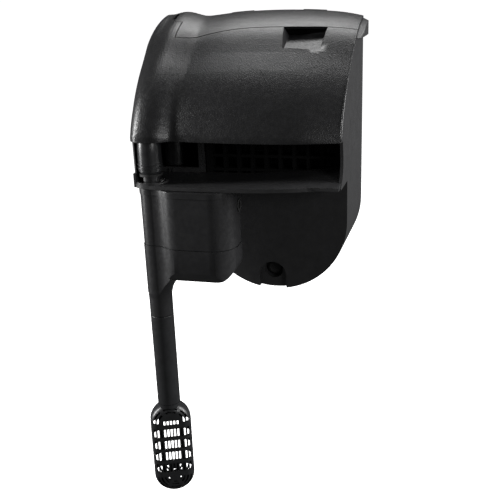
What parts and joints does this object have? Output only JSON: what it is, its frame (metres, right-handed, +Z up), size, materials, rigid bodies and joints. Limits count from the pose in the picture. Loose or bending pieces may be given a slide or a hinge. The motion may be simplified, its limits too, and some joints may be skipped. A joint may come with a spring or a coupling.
{
  "type": "hang-on-back aquarium power filter",
  "caption": "Power filter that hangs on a tank rim: submerged motor and intake tube in front, half-round media reservoir behind, lift-off hood and hinged lid.",
  "frame": {"origin": "middle of the overhang's underside, where the tank rim carries the filter", "axes": "+X to the right as seen from the tank, +Y away from the tank towards the reservoir's back, +Z up"},
  "size_m": [0.1853, 0.1361, 0.4288],
  "materials": {
    "shell_black": "satin moulded plastic with a fine grain",
    "body_grey": "satin moulded plastic, charcoal",
    "motor_black": "smooth moulded plastic",
    "tube_black": "smooth moulded plastic",
    "media_frame": "moulded plastic lattice",
    "filter_floss": "bonded polyester floss",
    "scrubber_grid": "moulded plastic grid",
    "rubber_black": "soft rubber",
    "impeller_white": "moulded plastic",
    "magnet_dark": "ferrite",
    "ceramic_shaft": "polished ceramic",
    "core_steel": "stacked laminations",
    "bobbin_nylon": "nylon",
    "copper_coil": "enamelled copper wire",
    "pin_steel": "stainless pin"
  },
  "bodies": {
    "filter_body": {"reservoir": "body_grey", "hinge_pins": "pin_steel", "motor_housing": "motor_black", "impeller_housing": "motor_black", "rotor_well": "tube_black", "housing_seal": "rubber_black", "stator_core": "core_steel", "coil_bobbin": "bobbin_nylon", "coil_winding": "copper_coil", "impeller_shaft": "ceramic_shaft", "upper_bush": "rubber_black", "lower_bush": "rubber_black", "u_tube": "tube_black", "riser_seal": "rubber_black", "cartridge_frame_front": "media_frame", "cartridge_frame_rear": "media_frame", "filter_pad_front": "filter_floss", "filter_pad_rear": "filter_floss", "bio_scrubber": "scrubber_grid", "cord_gland": "rubber_black"},
    "lid": {"lid": "shell_black"},
    "hood": {"front_hood": "shell_black"},
    "rotor": {"impeller": "impeller_white", "rotor_magnet": "magnet_dark"},
    "leveling_peg": {"leveling_peg": "motor_black", "peg_tip": "rubber_black"},
    "intake_extension": {"extension_tube": "tube_black"},
    "strainer": {"strainer": "tube_black"}
  },
  "joints": [
    {"name": "lid_hinge", "type": "hinge", "parent": "filter_body", "child": "lid", "pos_m": [0, 0.0894, 0.1243], "axis": [-1, 0, 0], "range_deg": [0, 95]},
    {"name": "hood_lift", "type": "slide", "parent": "filter_body", "child": "hood", "axis": [0, -0.5508, 0.8346], "range_m": [0, 0.08]},
    {"name": "rotor_spin", "type": "hinge", "parent": "filter_body", "child": "rotor", "pos_m": [-0.0375, -0.02625, -0.05], "axis": [0, 0, 1], "continuous": true},
    {"name": "peg_slide", "type": "slide", "parent": "filter_body", "child": "leveling_peg", "axis": [0, -1, 0], "range_m": [0, 0.018]},
    {"name": "extension_pull", "type": "slide", "parent": "filter_body", "child": "intake_extension", "axis": [0, 0, -1], "range_m": [0, 0.017]},
    {"name": "strainer_pull", "type": "slide", "parent": "intake_extension", "child": "strainer", "axis": [0, 0, -1], "range_m": [0, 0.015]}
  ]
}
